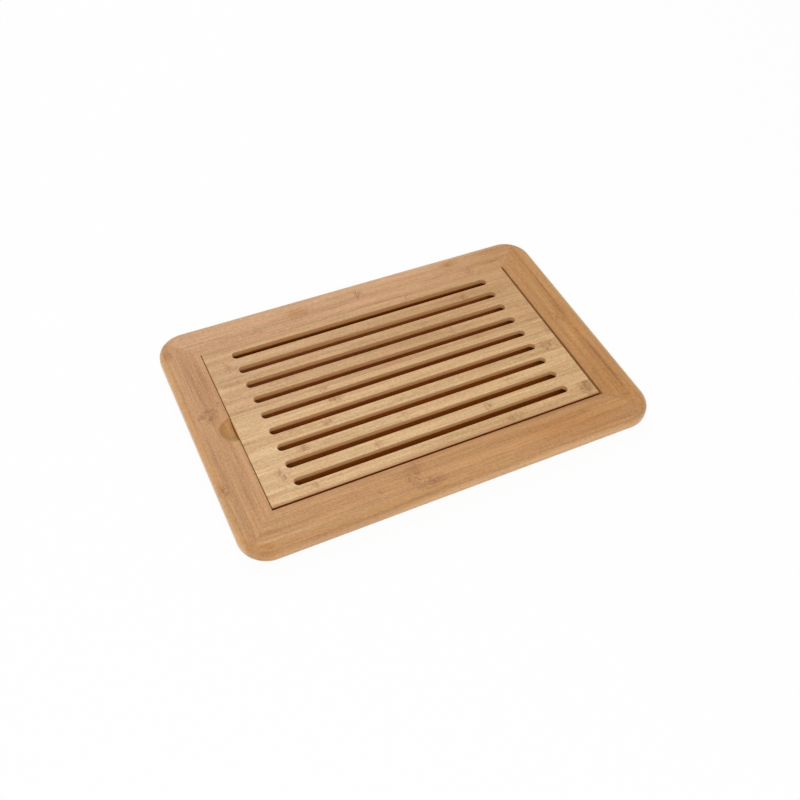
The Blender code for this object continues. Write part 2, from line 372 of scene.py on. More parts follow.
# Layers of noise along the fibres: a cell's length and width in millimetres, place, detail and
# roughness
FIBRES = {
    "sway": (120, 40, 3.7, 1, 0.5),
    "broad": (170, 7, 11.3, 1, 0.5),
    "streak": (70, 2.0, 27.1, 2, 0.6),
    "fine": (22, 0.8, 41.9, 2, 0.7),
    "long blush": (110, 6, 59.3, 1, 0.5),
    "short blush": (15, 6, 95.1, 1, 0.5),
    "mottle": (2.6, 1.7, 83.1, 2, 0.6),
    "rings": (6, 1.5, 19.9, 1, 0.5),
    "strokes": (2.2, 4.5, 71.7, 2, 0.6),
    "fading": (45, 30, 5.9, 1, 0.5),
}
# How strongly the layers show in the tone and in the relief
GRAIN_SHARES = {"broad": 0.7, "streak": 0.68, "fine": 0.6, "mottle": 0.9}
RELIEF_SHARES = {"fine": 0.5, "streak": 0.5, "mottle": 0.3}
# How much redder and deeper the dark fibres are than the pale ones
CONTRAST_SHARES = (0.34, 0.44, 0.58)
# Tints that a colour is multiplied by, and the noise over which the pinker one comes in
PINKER_SHARES = (1.02, 0.965, 0.965)
GOLDEN_SHARES = (0.99, 0.91, 0.66)
# The paler tint is a painted highlight towards the rails' rims.
RIM_HIGHLIGHT_SHARES = (0.99, 1.06, 1.22)
BLUSH_RANGE = (-0.15, 0.15)
# How far the fibres sway, and how far they turn round a knot, in millimetres
SWAY = 4
TURN = 14
# Cells in a millimetre of the noise that turns the fibres and of the one that frays edges
TURN_CELLS = 0.2
RAGGED_CELLS = 0.3
# How strong the frayed edges are, and over which shares of its half size a spot fades
RAGGED = 0.9
SPOT_FADE_SHARES = (0.2, 1.2)
# A knot's rings, the noise over which its strokes come in, the strokes on the rails and on the
# grid's staves, and its own darkness
RINGS = 2
STROKE_RANGE = (0, 0.12)
STROKE_SHARE = 0.55
STAVE_STROKE_SHARE = 0.38
KNOT_SHARE = 0.2
# How the grain, the strokes and the glue lines change the roughness and the relief
GRAIN_GLOSS = 0.25
STROKE_GLOSS = 0.06
STROKE_RELIEF = 0.4
GLUE_RELIEF = 0.6
BUMP_STRENGTH = 0.35
BUMP_DISTANCE = 0.1 * MM
COAT_ROUGHNESS = 0.45
SHEEN_ROUGHNESS = 0.4
# A half size that has no end, for a spot's height
FAR = 1e6


class Bamboo(Shader):
    """Oiled bamboo whose fibres run along X or Y. Its places and lengths are millimetres."""

    def __init__(self, name, screen, grain, seed, stroke_share=STROKE_SHARE):
        super().__init__(name)
        self.look = bpy.context.scene.bread_board_bamboo
        self.base = linear(screen)
        self.seed = seed
        self.grain = grain
        self.stroke_share = stroke_share
        self.place = self.scaled(self.node("ShaderNodeTexCoord", {}, {}, "Object"), 1 / MM)
        self.x, self.y, self.z = (
            self.node("ShaderNodeSeparateXYZ", {}, {0: self.place}, axis) for axis in "XYZ"
        )
        self.along, self.across = (self.x, self.y) if grain == "X" else (self.y, self.x)
        self.ragged = (self.noise(self.scaled(self.place, RAGGED_CELLS)) - 0.5) * RAGGED

    def fibres(self, layer, across):
        """A layer of noise about zero, drawn out along the fibres."""
        length, width, place, detail, roughness = FIBRES[layer]
        start = self.seed + place
        vector = self.vector(
            self.along * (1 / length) + start,
            across * (1 / width) + start,
            self.z * (1 / width) + start,
        )
        return self.noise(vector, detail, roughness) - 0.5

    def spots(self, places):
        """Soft ragged spots. Each has an x, a y, a half length, a half width and a strength."""
        total = 0
        for x, y, length, width, strength in places:
            size = (length, width, FAR) if self.grain == "X" else (width, length, FAR)
            offset = self.vector_math("SUBTRACT", self.place, (x, y, 0))
            shares = self.vector_math("DIVIDE", offset, size)
            reach = self.vector_math("LENGTH", shares, output="Value")
            total = self.fade(reach + self.ragged, *SPOT_FADE_SHARES) * strength + total
        return total

    def lines(self, value, places, width):
        """Fine soft lines where a value meets a place. Each has a place and a strength."""
        total = 0
        for place, strength in places:
            total = self.fade(abs(value - place), 0, width) * strength + total
        return total

    def steps(self, value, strips_and_highlight):
        """A tone that steps at each strip's start."""
        total = 0
        before = 0
        for start, tone in strips_and_highlight:
            total = self.math("GREATER_THAN", value, start) * (tone - before) + total
            before = tone
        return total

    def stave_glue(self, rear, front):
        """The glue lines at a stave's two edges, which are given in metres."""
        edges = ((rear / MM, STAVE_GLUE), (front / MM, STAVE_GLUE))
        return self.lines(self.y, edges, STAVE_GLUE_WIDTH)

    def lacquer(self, bare, color):
        """A clear satin lacquer, which pales faces seen at a low angle, except on bare wood."""
        for name, value in (
            ("Coat Weight", self.look.lacquer),
            ("Coat Roughness", COAT_ROUGHNESS),
            ("Sheen Weight", self.look.sheen),
            ("Sheen Roughness", SHEEN_ROUGHNESS),
            ("Sheen Tint", linear(self.look.sheen_color)),
        ):
            self.put(self.principled.inputs[name], value)
        raw = self.node("ShaderNodeBsdfDiffuse", {}, {"Color": color})
        self.show_mix(bare, Field(self, self.principled.outputs[0]), raw)

    def finish(self, knots=(), stains_and_highlights=(), warm=(), glue=0, strips_and_highlight=0, recolor=None):
        """Join the streaks, knots, stain spots, glue lines and strip tones into the face's finish;
        on the rails a few spots and a strip tone are painted highlights on the rim.
        """
        knot = self.spots(knots)
        turn = (self.noise(self.scaled(self.place, TURN_CELLS), 1) - 0.5) * knot * TURN
        across = self.across + self.fibres("sway", self.across) * SWAY + turn
        layers = {name: self.fibres(name, across) for name in GRAIN_SHARES}
        grain = sum(layers[name] * share for name, share in GRAIN_SHARES.items())
        rings = self.fibres("rings", across) * knot * RINGS
        tone = 0.5 + grain * self.look.streaks + rings + self.spots(stains_and_highlights) + strips_and_highlight - glue
        deep = tuple(value * (1 - share) for value, share in zip(self.base, CONTRAST_SHARES))
        pale = tuple(value * (1 + share) for value, share in zip(self.base, CONTRAST_SHARES))
        color = self.mix(tone, deep, pale)
        blush = self.fibres("long blush", across) + self.fibres("short blush", across)
        pinker = self.vector_math("MULTIPLY", color, PINKER_SHARES)
        color = self.mix(self.smooth(blush, *BLUSH_RANGE), color, pinker)
        if warm:
            golden = self.vector_math("MULTIPLY", color, GOLDEN_SHARES)
            color = self.mix(self.spots(warm), color, golden)
        strokes = self.smooth(self.fibres("strokes", across), *STROKE_RANGE) * knot
        marked = strokes * self.stroke_share + knot * KNOT_SHARE
        color = self.mix(marked, color, linear(self.look.knot))
        if recolor:
            color, bare = recolor(color)
            if bare:
                self.lacquer(bare, color)
        self.put(self.principled.inputs["Base Color"], color)
        roughness = self.look.roughness - grain * GRAIN_GLOSS + strokes * STROKE_GLOSS
        self.put(self.principled.inputs["Roughness"], roughness)
        relief = sum(layers[name] * share for name, share in RELIEF_SHARES.items())
        relief = relief - strokes * STROKE_RELIEF - glue * GLUE_RELIEF
        bump = {"Strength": BUMP_STRENGTH, "Distance": BUMP_DISTANCE, "Height": relief}
        self.put(self.principled.inputs["Normal"], self.node("ShaderNodeBump", {}, bump))
        return self.material


# Marks listed for each piece: x, y, half length along the grain, half width, strength
RAIL_KNOTS = {
    "front": (
        (-42, -122, 6, 11, 1.0),
        (-49, -117, 4, 8, 0.6),
        (-31, -126, 5, 7, 0.8),
        (-38, -108, 6, 8, 0.6),
        (-79, -119, 3, 4, 0.9),
    ),
    "rear": (
        (4, 120, 3.5, 9, 1.0),
        (9, 119, 4, 7, 0.5),
        (44, 97, 6, 4, 0.9),
        (-111, 107, 5, 7, 0.6),
        (132, 107, 6, 7, 0.6),
        (115, 124, 7, 5, 0.5),
        (-66, 97, 8, 3, 0.4),
    ),
    "left": (
        (-188, 26, 5, 11, 0.9),
        (-190, 19, 6, 10, 0.6),
        (-196, 22, 5, 6, 1.0),
        (-204, -60, 6, 6, 1.0),
        (-203, -67, 4, 4, 0.8),
        (-202, 111, 7, 5, 0.7),
        (-177, 33, 4, 4, 0.5),
    ),
    "right": (
        (184, 8, 12, 9, 0.6),
        (199, 72, 8, 3, 0.7),
        (191, 28, 7, 4, 0.4),
        (191, -111, 4, 4, 0.8),
    ),
}
# Spots with a positive strength on a rim's outer edge (the front's at y -138.5, the left's at x
# -209 and the right's at x 206) are painted highlights.
RAIL_STAINS_AND_HIGHLIGHTS = {
    "front": (
        (-27, -127, 13, 7, -0.28),
        (-56, -110, 12, 3, -0.14),
        (-44, -117, 20, 16, -0.10),
        (-40, -107, 12, 5, -0.16),
        (70, -111, 70, 3, -0.12),
        (140, -111, 9, 2.5, -0.2),
        (120, -122, 60, 6, -0.10),
        (-115, -137, 75, 1.6, -0.2),
        (-192, -134, 11, 6, -0.16),
        # Painted highlights along the front rim's outer edge
        (100, -138.5, 110, 1.6, 0.4),
        (-20, -138.5, 60, 1.6, 0.2),
    ),
    "rear": (
        (-64, 118, 16, 7, -0.18),
        (178, 118, 36, 24, -0.12),
        (115, 125, 12, 6, -0.14),
        (164, 112, 18, 2.5, -0.2),
        (20, 128, 130, 5, 0.12),
        (-110, 124, 40, 6, 0.08),
    ),
    "left": (
        (-178, 68, 32, 3, -0.18),
        (-190, 22, 14, 12, -0.12),
        (-202, 110, 10, 5, -0.26),
        (-185, -70, 38, 3.5, -0.2),
        (-190, 66, 45, 7, -0.1),
        (-207, -60, 9, 4, -0.16),
        (-188, 66, 60, 17, -0.1),
        # Painted highlight on the left rim
        (-209, -115, 18, 4, 0.3),
    ),
    "right": (
        (194, 20, 18, 6, -0.22),
        (194, 70, 50, 2.5, -0.16),
        (194, -65, 46, 2.5, -0.12),
        (188, -72, 60, 16, -0.2),
        (198, 72, 10, 4, 0.08),
        # Painted highlight along the right rim
        (206, 0, 110, 3, 0.12),
    ),
}
# Golden patches
RAIL_WARM = {
    "front": ((-192, -134, 12, 8, 1.0), (125, -118, 70, 16, 0.6)),
    "rear": ((-64, 118, 17, 8, 0.9), (115, 125, 13, 7, 0.7), (172, 118, 44, 24, 0.6)),
    "left": ((-188, 66, 60, 17, 0.25), (-200, 110, 12, 6, 0.4)),
    "right": ((193, 12, 60, 9, 0.6), (188, -72, 60, 16, 0.25), (190, -100, 20, 6, 0.4)),
}
# Laminated strip tones: distance from the grid's opening and the tone from there outwards. The
# left rail's last step, on its rim, is a painted highlight.
RAIL_STRIPS_AND_HIGHLIGHT = {
    "front": ((0, 0.0), (9, 0.05), (25.5, 0.0), (31.5, 0.03)),
    "rear": ((0, 0.03), (11.9, -0.06), (17, 0.05), (27, 0.01), (31, 0.04)),
    # The left rail's last step, at 33 mm, is a painted highlight on its rim.
    "left": ((0, 0.08), (7, -0.03), (14, 0.02), (21.8, -0.03), (27, 0.0), (33, 0.26)),
    "right": ((0, 0.03), (6.5, -0.02), (13, 0.0), (20, -0.03), (26, 0.04), (33, 0.03)),
}
# Darker lines along a rail: distance from the opening and strength
RAIL_LINES = {
    "front": ((13.5, 0.18), (25.5, 0.14), (18.4, 0.08)),
    "rear": ((11.9, 0.34),),
    "left": ((21.8, 0.16), (7.0, 0.1)),
    "right": ((24.0, 0.14), (24.8, 0.1)),
}
STAVE_KNOTS = (
    ((51, 96, 4, 6, 0.9), (46, 91, 5, 3, 0.5)),
    ((-154, 71, 3.5, 9, 1.0), (-148, 66, 5, 5, 0.6), (107, 73, 5, 7, 1.0), (63, 66, 5, 5, 0.4)),
    ((72, 37, 5, 5, 0.9),),
    ((72, 32, 4, 4, 0.9), (93, 17, 13, 3, 0.7)),
    ((-79, 12, 6, 7, 0.9), (-74, -5, 9, 5, 0.9), (152, -7, 8, 5, 0.7)),
    ((-91, -27, 6, 6, 0.9), (153, -22, 10, 9, 0.8)),
    ((-122, -47, 4, 6, 1.0), (-20, -47, 4, 6, 0.8), (94, -47, 9, 3, 0.4)),
    ((-153, -66, 5, 10, 1.0), (-148, -71, 6, 6, 0.6), (-58, -69, 5, 6, 1.0), (58, -69, 5, 6, 1.0)),
    ((-129, -90, 4, 7, 1.0), (75, -91, 10, 6, 0.8), (157, -86, 7, 12, 1.0), (164, -78, 6, 8, 0.8)),
)
STAVE_STAINS = (
    ((-160, 84, 14, 2.5, -0.1), (-100, 74, 60, 2, -0.08)),
    ((-155, 57.5, 24, 1.6, -0.3), (158, 65, 12, 3, 0.1)),
    ((-158, 50, 14, 5, -0.15), (-160, 36, 14, 2, -0.18), (158, 38, 16, 3, -0.1)),
    ((93, 17, 14, 4, -0.12), (160, 17, 16, 2.5, -0.14), (-160, 20, 14, 2, -0.1)),
    ((-72, -3, 11, 6, -0.2), (160, 8, 20, 6, -0.18), (166, -2, 6, 12, -0.24)),
    ((152, -18, 12, 12, -0.08), (-90, -27, 10, 5, -0.08)),
    ((-122, -47, 9, 4, -0.15), (94, -47, 16, 3, -0.08)),
    ((-152, -66, 12, 10, 0.06), (-56, -69, 9, 5, -0.08), (60, -69, 9, 5, -0.08)),
    ((160, -85, 11, 15, -0.36), (76, -91, 13, 5, -0.2), (-130, -91, 8, 5, -0.08)),
)
# Where each stave's colour lies between the rearmost and the palest
STAVE_TONE_SHARES = (0.0, 0.1, 0.25, 0.2, 0.6, 0.7, 0.95, 1.0, 0.75)
# Where in the noise each kind of piece starts, and how far on the next of its pieces lies
SEEDS = {"rail": (0, 13.7), "stave": (100, 5.3), "tray": (200, 7.9), "spline": (300, 3.1)}
# Glue lines: strength and half width in millimetres
MITRE_GLUE = 0.3
MITRE_GLUE_WIDTH = 0.3
STAVE_GLUE = 0.25
STAVE_GLUE_WIDTH = 0.35

# A rail's strips and lines: their fraying, a line's half width in millimetres and the noise over
# which it comes in
STRIP_RAGGED_SHARE = 0.6
LINE_RAGGED_SHARE = 0.5
LINE_WIDTH = 0.9
LINE_FADING = (-0.15, 0.1)

# Where a rail's colours fade, in millimetres: the scoop from its middle, in height and along Y,
# the painted highlight outwards from the opening towards the rim, and the painted shade on the
# opening's wall, on its ledge and beside its edge
SCOOP_EDGE = (15, 17)
SCOOP_HEIGHTS = (15.5, 19.7)
SCOOP_REAR = (-8, 5)
RIM_HIGHLIGHT_REACH = (22, 34)
WALL_HEIGHTS = (19.2, 19.75)
WALL_FACE = (-0.1, 0.05)
LEDGE_FACE = (-0.6, -0.4)
SEAM_REACH = (0, 5)
# How strongly those colours show: in the scoop and less at its rear, as the painted highlight
# towards the rim, and as painted shade on the top face beside the opening
SCOOP_FRESH_SHARE = 0.85
SCOOP_REAR_SHARE = 0.55
RIM_HIGHLIGHT_SHARE = 0.6
SEAM_SHADE_SHARES = {"front": 0.26, "rear": 0, "left": 0.18, "right": 0.18}

# Where a grid stave's colours fade, in millimetres: in height, inwards from an edge, and along Y
# from the scoop's middle. The painted shade deep in the slots fades in height, and the painted
# shade on the sides and beside the front seam fades inwards from an edge
ROUTED_HEIGHTS = (18.6, 19.8)
SLOT_SHADE_HEIGHTS = (13.5, 18.5)
SIDE_HEIGHTS = (19.1, 19.7)
SIDE_FACE = (0.3, 0.8)
FRONT_SEAM_SHADE = (0, 4.5)
SCOOP_FACE = (1, 2)
SCOOP_SPAN = (10, 14)
# How strongly those colours show. The slot and front seam shares are painted shade, and the
# scoop's light share takes part of the painted shade off the grid's side in the scoop
ROUTED_SHARE = 0.7
SLOT_SHADE_SHARE = 0.35
FRONT_SEAM_SHADE_SHARE = 0.36
SCOOP_PALE_SHARE = 0.8
SCOOP_LIGHT_SHARE = 0.65

# The tray's staves: their shine, where their plain underside ends, in millimetres above their
# foot, and their edges' radius against the other sanded edges'
TRAY_SPECULAR = 0.1
UNDERSIDE = (0.5, 1)
TRAY_EASE_SHARE = 0.25


# Meshes


def loft(name, rings, closed=False):
    """A mesh skinned over rings of points, either closed on itself or capped at both ends."""
    shape = bmesh.new()
    rows = [[shape.verts.new(point) for point in ring] for ring in rings]
    pairs = list(zip(rows, rows[1:]))
    if closed:
        pairs.append((rows[-1], rows[0]))
    else:
        shape.faces.new(rows[0])
        shape.faces.new(rows[-1])
    for row, following in pairs:
        for index in range(len(row)):
            after = (index + 1) % len(row)
            shape.faces.new((row[index], row[after], following[after], following[index]))
    bmesh.ops.remove_doubles(shape, verts=shape.verts, dist=WELD_DISTANCE)
    return finished(shape, name)


def finished(shape, name):
    """A bmesh as a mesh with its faces out."""
    bmesh.ops.recalc_face_normals(shape, faces=shape.faces)
    mesh = bpy.data.meshes.new(name)
    shape.to_mesh(mesh)
    shape.free()
    return mesh


def add_object(name, mesh):
    """Put a mesh in the scene."""
    placed = bpy.data.objects.new(name, mesh)
    bpy.context.scene.collection.objects.link(placed)
    return placed


def box_mesh(name, low, high, ease=0):
    """A box between two corners, with its edges rounded if an ease is given."""
    shape = bmesh.new()
    bmesh.ops.create_cube(shape, size=1)
    size = Vector(high) - Vector(low)
    bmesh.ops.scale(shape, vec=size, verts=shape.verts)
    bmesh.ops.translate(shape, vec=Vector(low) + size / 2, verts=shape.verts)
    if ease:
        bmesh.ops.bevel(
            shape, geom=shape.edges, offset=ease, segments=EASE_STEPS, profile=0.5, affect="EDGES"
        )
    return finished(shape, name)


def grown_mesh(name, node, amount):
    """A node's box with each of its faces moved out by an amount."""
    shape = bmesh.new()
    shape.from_mesh(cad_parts[node].data)
    bmesh.ops.remove_doubles(shape, verts=shape.verts, dist=WELD_DISTANCE)
    bmesh.ops.recalc_face_normals(shape, faces=shape.faces)
    shape.normal_update()
    for vert in shape.verts:
        vert.co += vert.normal * amount * math.sqrt(3)
    return finished(shape, name)


def carve(piece, mesh, operation="DIFFERENCE"):
    """Cut a mesh out of a piece, or keep only what lies inside it."""
    cutter = add_object("cutter", mesh)
    modifier = piece.modifiers.new(operation, "BOOLEAN")
    modifier.operation = operation
    modifier.object = cutter
    apply_modifiers(piece)
    bpy.data.objects.remove(cutter)


def apply_modifiers(piece):
    """Replace a piece's mesh by what its modifiers make of it."""
    graph = bpy.context.evaluated_depsgraph_get()
    mesh = bpy.data.meshes.new_from_object(piece.evaluated_get(graph))
    piece.modifiers.clear()
    piece.data = mesh


def close_slivers(mesh):
    """Join the points that the cuts leave a hair apart, so that the mesh is closed."""
    shape = bmesh.new()
    shape.from_mesh(mesh)
    bmesh.ops.remove_doubles(shape, verts=shape.verts, dist=SLIVER_LENGTH)
    bmesh.ops.dissolve_degenerate(shape, dist=SLIVER_LENGTH, edges=shape.edges)
    shape.to_mesh(mesh)
    shape.free()


def smooth(piece):
    """Shade a piece smooth over its round edges and flat on its faces."""
    close_slivers(piece.data)
    piece.data.shade_smooth()
    piece.data.set_sharp_from_angle(angle=SMOOTH_ANGLE)
    modifier = piece.modifiers.new("weighted normals", "WEIGHTED_NORMAL")
    modifier.keep_sharp = True
    apply_modifiers(piece)


def arc(centre, radius, first, last, steps):
    """Points of an arc in a section, its angles in degrees."""
    points = []
    for step in range(steps + 1):
        angle = math.radians(first + (last - first) * step / steps)
        points.append((centre[0] + radius * math.cos(angle), centre[1] + radius * math.sin(angle)))
    return points


def place_piece(piece, body, node, material):
    """Finish a piece that stands for a node of the frame."""
    piece.data.materials.clear()
    piece.data.materials.append(material)
    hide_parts(node)
    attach(piece, body)


# The frame's rails


def frame_section(shape):
    """The frame's section: each point's inset, height and its loop's middle along X."""
    top = CAD_HIGH.z
    rim = shape.rim_radius
    ease = shape.crisp_ease
    width = shape.rail_width
    ledge_top = GRID_LOW.z - shape.fit
    rebate_top = FLOOR_HIGH.z + shape.fit
    rebate_inset = CAD_HIGH.y - FLOOR_HIGH.y - shape.fit
    outside = [
        *arc((rim, top - rim), rim, 90, 180, ROUND_STEPS),
        *arc((rim, rim), rim, 180, 270, ROUND_STEPS),
    ]
    inside = [
        *arc((rebate_inset - ease, ease), ease, 270, 360, EASE_STEPS),
        (rebate_inset, rebate_top),
        (LEDGE_INSET, rebate_top),
        (LEDGE_INSET, ledge_top),
        (width, ledge_top),
        *arc((width - ease, top - ease), ease, 0, 90, EASE_STEPS),
    ]
    points = [(inset, height, 0) for inset, height in outside]
    return points + [(inset, height, OPENING_SHIFT) for inset, height in inside]


def frame_mesh(shape):
    """The whole frame as one closed band, before its mitres are sawn."""
    rings = []
    for inset, height, middle in frame_section(shape):
        radius = max(shape.corner_radius - inset, 0)
        along = CAD_HIGH.x - inset - radius
        across = CAD_HIGH.y - inset - radius
        ring = []
        for turn, (x, y) in enumerate(((1, 1), (-1, 1), (-1, -1), (1, -1))):
            corner = (middle + x * along, y * across)
            ring += arc(corner, radius, 90 * turn, 90 * turn + 90, 2 * CORNER_STEPS)
        rings.append([(x, y, height) for x, y in ring])
    return loft("frame", rings, closed=True)


def wedge_mesh(shape, first, second):
    """The prism that holds one rail, between the mitres through two corners of the opening."""
    half = Vector((CAD_HIGH.x - shape.rail_width, CAD_HIGH.y - shape.rail_width))
    corners = [Vector(side) * half for side in (first, second)]
    outline = []
    for corner, side, reach in (
        (corners[0], first, MITRE_REACH),
        (corners[1], second, MITRE_REACH),
        (corners[1], second, -MITRE_BACK),
        (corners[0], first, -MITRE_BACK),
    ):
        outline.append(corner + Vector(side) * reach + Vector((OPENING_SHIFT, 0)))
    heights = (CAD_LOW.z - OVERRUN, CAD_HIGH.z + OVERRUN)
    return loft("wedge", [[(point.x, point.y, height) for point in outline] for height in heights])


def scoop_mesh(shape):
    """The cutter of the finger scoop: a ball that flares into a round lip at the top face."""
    ball = (shape.scoop_radius**2 + shape.scoop_depth**2) / (2 * shape.scoop_depth)
    lip = shape.scoop_lip
    top = CAD_HIGH.z
    rise = ball - shape.scoop_depth
    lip_radius = math.sqrt((ball + lip) ** 2 - (rise + lip) ** 2)
    slope = math.degrees(math.asin(lip_radius / (ball + lip)))
    section = arc((0, top + rise), ball, SCOOP_START, slope - 90, SCOOP_STEPS // 2)
    section += arc((lip_radius, top - lip), lip, 90 + slope, 90, EASE_STEPS * 2)
    section.append((lip_radius, top + OVERRUN))
    rings = []
    for radius, height in section:
        ring = []
        for step in range(SCOOP_STEPS):
            angle = 2 * math.pi * step / SCOOP_STEPS
            x = GRID_LOW.x + radius * math.cos(angle)
            y = shape.scoop_place + radius * math.sin(angle)
            ring.append((x, y, height))
        rings.append(ring)
    return loft("scoop", rings)


def rail_bamboo(index, side):
    """The bamboo of one rail, with its laminated strip tones, knots and the glue lines of its
    mitres, painted shade at the seam and painted highlights towards its rim.
    """
    look = bpy.context.scene.bread_board_bamboo
    shape = bpy.context.scene.bread_board_shape
    screen = getattr(look, f"rail_{side}")
    grain = RAILS[side][0]
    bamboo = Bamboo(f"rail {side} bamboo", screen, grain, seed_of("rail", index))
    opening_x = (CAD_HIGH.x - shape.rail_width) / MM
    opening_y = (CAD_HIGH.y - shape.rail_width) / MM
    from_side = abs(bamboo.x - OPENING_SHIFT / MM) - opening_x
    from_end = abs(bamboo.y) - opening_y
    inset = from_end if grain == "X" else from_side
    # The left rail's last strip tone paints a highlight on its rim.
    strips_and_highlight = bamboo.steps(inset + bamboo.ragged * STRIP_RAGGED_SHARE, RAIL_STRIPS_AND_HIGHLIGHT[side])
    fading = bamboo.smooth(bamboo.fibres("fading", bamboo.across), *LINE_FADING)
    ragged_inset = inset + bamboo.ragged * LINE_RAGGED_SHARE
    strips_and_highlight = strips_and_highlight - bamboo.lines(ragged_inset, RAIL_LINES[side], LINE_WIDTH) * fading
    glue = bamboo.lines(from_side - from_end, ((0, MITRE_GLUE),), MITRE_GLUE_WIDTH)
    scoop_at = (GRID_LOW.x / MM, shape.scoop_place / MM, CAD_HIGH.z / MM)

    def scoop_color(color):
        offset = bamboo.vector_math("SUBTRACT", bamboo.place, scoop_at)
        near = bamboo.fade(bamboo.vector_math("LENGTH", offset, output="Value"), *SCOOP_EDGE)
        deep = bamboo.fade(bamboo.z, *SCOOP_HEIGHTS)
        rear = bamboo.smooth(bamboo.y - scoop_at[1], *SCOOP_REAR)
        fresh = SCOOP_FRESH_SHARE - rear * SCOOP_REAR_SHARE
        return bamboo.mix(near * deep * fresh, color, linear(look.scoop))

    def rail_color(color):
        if side == "left":
            color = scoop_color(color)
        # Painted highlight: the rail pales outwards towards its rim.
        rim_highlight = bamboo.vector_math("MULTIPLY", color, RIM_HIGHLIGHT_SHARES)
        color = bamboo.mix(bamboo.smooth(inset, *RIM_HIGHLIGHT_REACH) * RIM_HIGHLIGHT_SHARE, color, rim_highlight)
        # Painted shade: the rail's wall in the seam takes the seam colour, and the top face beside
        # the opening darkens towards it.
        wall = bamboo.fade(inset, *WALL_FACE) * bamboo.fade(bamboo.z, *WALL_HEIGHTS)
        seam_shade = bamboo.fade(inset, *SEAM_REACH) * SEAM_SHADE_SHARES[side]
        color = bamboo.mix(bamboo.math("MAXIMUM", wall, seam_shade), color, linear(look.seam))
        # Painted shade: the ledge under the grid takes the tray's dark colour.
        ledge = bamboo.fade(inset, *LEDGE_FACE)
        return bamboo.mix(ledge, color, linear(look.tray)), bamboo.math("MAXIMUM", wall, ledge)

    marks = RAIL_KNOTS[side], RAIL_STAINS_AND_HIGHLIGHTS[side], RAIL_WARM[side]
    return bamboo.finish(*marks, glue, strips_and_highlight, rail_color)


class BREADBOARD_OT_rails(bpy.types.Operator):
    """Build the four mitred rails of the frame"""

    bl_idname = "bread_board.rails"
    bl_label = "Rails"

    def execute(self, context):
        shape = context.scene.bread_board_shape
        for index, (side, (grain, first, second)) in enumerate(RAILS.items()):
            rail = add_object(f"{side}_rail", frame_mesh(shape))
            carve(rail, wedge_mesh(shape, first, second), "INTERSECT")
            for corner in CORNERS:
                if side in corner:
                    carve(rail, grown_mesh("pocket", f"spline_{corner}", shape.fit))
            if side == "left":
                carve(rail, scoop_mesh(shape))
            smooth(rail)
            place_piece(rail, "frame", f"rail_{side}", rail_bamboo(index, side))
        return {"FINISHED"}


# The lift-out grid


def slot_places(shape):
    """Each slot's middle along Y, from the rear to the front."""
    radius = shape.slot_width / 2
    first = GRID_HIGH.y - shape.slot_rear_margin - radius
    last = GRID_LOW.y + shape.slot_front_margin + radius
    pitch = (first - last) / (shape.slot_count - 1)
    return [first - index * pitch for index in range(shape.slot_count)]


def slot_mesh(shape, middle_y):
    """The cutter of a slot, which flares at both faces so that the slot's edges are rounded."""
    ease = shape.slot_ease
    outer = shape.slot_width / 2 + ease
    section = [
        (outer, GRID_LOW.z - OVERRUN),
        *arc((outer, GRID_LOW.z + ease), ease, 270, 180, EASE_STEPS),
        *arc((outer, GRID_HIGH.z - ease), ease, 180, 90, EASE_STEPS),
        (outer, GRID_HIGH.z + OVERRUN),
    ]
    middle_x = (GRID_LOW.x + GRID_HIGH.x) / 2
    reach = (GRID_HIGH.x - GRID_LOW.x) / 2 - shape.slot_end_margin - shape.slot_width / 2
    rings = []
    for radius, height in section:
        ring = []
        for side, first in ((1, -90), (-1, 90)):
            middle = (middle_x + side * reach, middle_y)
            end = arc(middle, radius, first, first + 180, SLOT_END_STEPS)
            ring += [(x, y, height) for x, y in end]
        rings.append(ring)
    return loft("slot", rings)


def grid_blank_mesh(shape):
    """The grid before it is slotted, with round top edges and slightly round corners."""
    ease = shape.grid_ease
    rear = CAD_HIGH.y - shape.rail_width - shape.grid_rear_play
    front = GRID_LOW.y + shape.front_setback
    right = GRID_HIGH.x - shape.right_setback
    section = [(0, GRID_LOW.z), *arc((ease, GRID_HIGH.z - ease), ease, 180, 90, EASE_STEPS)]
    rings = []
    for inset, height in section:
        ring = []
        for turn, (x, y) in enumerate(((1, 1), (-1, 1), (-1, -1), (1, -1))):
            reach = shape.grid_rear_ease if y > 0 else shape.grid_front_ease
            corner_x = right - ease if x > 0 else GRID_LOW.x + ease
            corner_y = rear - reach if y > 0 else front + reach
            radius = ease * CORNER_GROWTH - inset
            for along, across in arc((0, 0), radius, 90 * turn, 90 * turn + 90, EASE_STEPS):
                ring.append((corner_x + along, corner_y + across * reach / ease, height))
        rings.append(ring)
    return loft("grid blank", rings)


